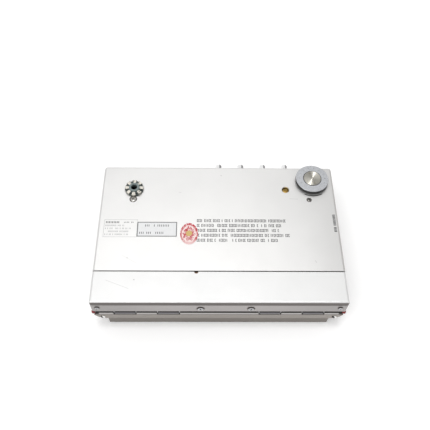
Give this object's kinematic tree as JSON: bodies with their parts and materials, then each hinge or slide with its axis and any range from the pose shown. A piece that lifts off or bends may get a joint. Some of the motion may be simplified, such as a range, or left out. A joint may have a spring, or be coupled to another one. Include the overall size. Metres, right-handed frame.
{
  "type": "portable cassette player",
  "caption": "Pocket cassette player with a satin metal body, hinged cassette door, sliding battery lid, volume dial, headphone jack and push keys.",
  "frame": {"origin": "on the rest face (outside of the cassette door), midway between the ends and midway between the foremost screw heads and the key tips", "axes": "+X along the body, to the right as the back is read; +Y from the battery end towards the keys; +Z out of the back"},
  "size_m": [0.1334, 0.0922, 0.0332],
  "materials": {
    "cover_metal": "satin anodised silver",
    "lid_metal": "satin anodised silver",
    "frame_metal": "satin silver",
    "door_metal": "satin silver",
    "steel": "plain steel",
    "dark_steel": "blackened steel",
    "red_lacquer": "gloss red",
    "screw_metal": "bright plated",
    "pane": "clear, tinted grey",
    "deck_metal": "dark grey",
    "tray_plastic": "black",
    "reel_plastic": "off white",
    "brass": "turned",
    "rubber": "black",
    "head_metal": "polished",
    "key_metal": "satin grey",
    "dial_metal": "satin, bluish grey",
    "cap_metal": "spun, brushed in circles",
    "nut_metal": "dark grey green",
    "jack_plastic": "black",
    "board": "green laminate",
    "component": "dark moulded"
  },
  "bodies": {
    "door": {"door_shell": "door_metal", "door_window": "pane", "door_hinge_leaf": "steel", "hinge_pin": "steel", "hinge_pin_caps": "red_lacquer", "door_screws": "screw_metal", "cassette_springs": "steel"},
    "housing": {"back_cover": "cover_metal", "cover_screws": "screw_metal", "front_frame": "frame_metal", "frame_hinge_leaf": "dark_steel", "frame_screws": "screw_metal", "battery_tray": "tray_plastic", "battery_spring": "screw_metal", "battery_contact": "screw_metal", "chassis": "deck_metal", "door_catches": "steel", "capstan_bearing": "brass", "flywheel_bridge": "deck_metal", "drive_belt": "rubber", "motor_can": "steel", "key_bracket": "deck_metal", "key_springs": "steel", "volume_pot": "component", "jack_socket": "jack_plastic", "jack_nut": "nut_metal", "main_board": "board", "board_components": "component", "speed_trimmer": "brass"},
    "battery_lid": {"battery_lid": "lid_metal"},
    "rewind_key": {"rewind_key": "key_metal"},
    "play_key": {"play_key": "key_metal"},
    "forward_key": {"forward_key": "key_metal"},
    "stop_key": {"stop_key": "key_metal"},
    "volume_dial": {"volume_dial": "dial_metal", "dial_cap": "cap_metal"},
    "flywheel": {"flywheel": "brass", "capstan": "steel"},
    "motor_pulley": {"motor_pulley": "brass"},
    "idler": {"idler_wheel": "reel_plastic", "idler_tyre": "rubber"},
    "takeup": {"takeup_spindle": "reel_plastic", "takeup_table": "reel_plastic"},
    "supply": {"supply_spindle": "reel_plastic", "supply_table": "reel_plastic"},
    "head": {"head_bridge": "steel", "tape_head": "head_metal"},
    "pinch_arm": {"pinch_arm": "steel"},
    "pinch_roller": {"pinch_roller": "rubber"}
  },
  "joints": [
    {"name": "door_hinge", "type": "hinge", "parent": "door", "child": "housing", "pos_m": [0, -0.0442, 0.0171], "axis": [1, 0, 0], "range_deg": [0, 90]},
    {"name": "lid_slide", "type": "slide", "parent": "housing", "child": "battery_lid", "axis": [0, -1, 0], "range_m": [0, 0.02]},
    {"name": "rewind_press", "type": "slide", "parent": "housing", "child": "rewind_key", "axis": [0, -1, 0], "range_m": [0, 0.0025], "stiffness_N_per_m": 160, "deforming": ["key_springs"]},
    {"name": "play_press", "type": "slide", "parent": "housing", "child": "play_key", "axis": [0, -1, 0], "range_m": [0, 0.0025], "stiffness_N_per_m": 160, "deforming": ["key_springs"]},
    {"name": "forward_press", "type": "slide", "parent": "housing", "child": "forward_key", "axis": [0, -1, 0], "range_m": [0, 0.0025], "stiffness_N_per_m": 160, "deforming": ["key_springs"]},
    {"name": "stop_press", "type": "slide", "parent": "housing", "child": "stop_key", "axis": [0, -1, 0], "range_m": [0, 0.0025], "stiffness_N_per_m": 160, "deforming": ["key_springs"]},
    {"name": "dial_turn", "type": "hinge", "parent": "housing", "child": "volume_dial", "pos_m": [0.0543, 0.03165, 0.03], "axis": [0, 0, 1], "range_deg": [0, 270]},
    {"name": "flywheel_spin", "type": "hinge", "parent": "housing", "child": "flywheel", "pos_m": [0.032, 0.0239, 0.021], "axis": [0, 0, 1], "continuous": true},
    {"name": "motor_spin", "type": "hinge", "parent": "housing", "child": "motor_pulley", "pos_m": [-0.05, 0.0001, 0.021], "axis": [0, 0, 1], "continuous": true},
    {"name": "idler_spin", "type": "hinge", "parent": "housing", "child": "idler", "pos_m": [0.03116, 0.01737, 0.018], "axis": [0, 0, 1], "continuous": true},
    {"name": "takeup_spin", "type": "hinge", "parent": "housing", "child": "takeup", "pos_m": [0.02925, 0.0024, 0.018], "axis": [0, 0, 1], "continuous": true},
    {"name": "supply_spin", "type": "hinge", "parent": "housing", "child": "supply", "pos_m": [-0.01325, 0.0024, 0.018], "axis": [0, 0, 1], "continuous": true},
    {"name": "head_slide", "type": "slide", "parent": "housing", "child": "head", "axis": [0, -1, 0], "range_m": [0, 0.0025]},
    {"name": "pinch_swing", "type": "hinge", "parent": "housing", "child": "pinch_arm", "pos_m": [0.05, 0.0346, 0.015], "axis": [0, 0, 1], "range_deg": [0, 20.72]},
    {"name": "roller_spin", "type": "hinge", "parent": "pinch_arm", "child": "pinch_roller", "pos_m": [0.03102, 0.0353, 0.008], "axis": [0, 0, 1], "continuous": true}
  ],
  "couplings": [
    {"joint": "motor_spin", "follows": "flywheel_spin", "ratio": 4.2},
    {"joint": "idler_spin", "follows": "flywheel_spin", "ratio": -1.156},
    {"joint": "takeup_spin", "follows": "flywheel_spin", "ratio": 0.29167},
    {"joint": "head_slide", "follows": "play_press", "ratio": 1},
    {"joint": "pinch_swing", "follows": "play_press", "rad_per_m": 144.64}
  ]
}
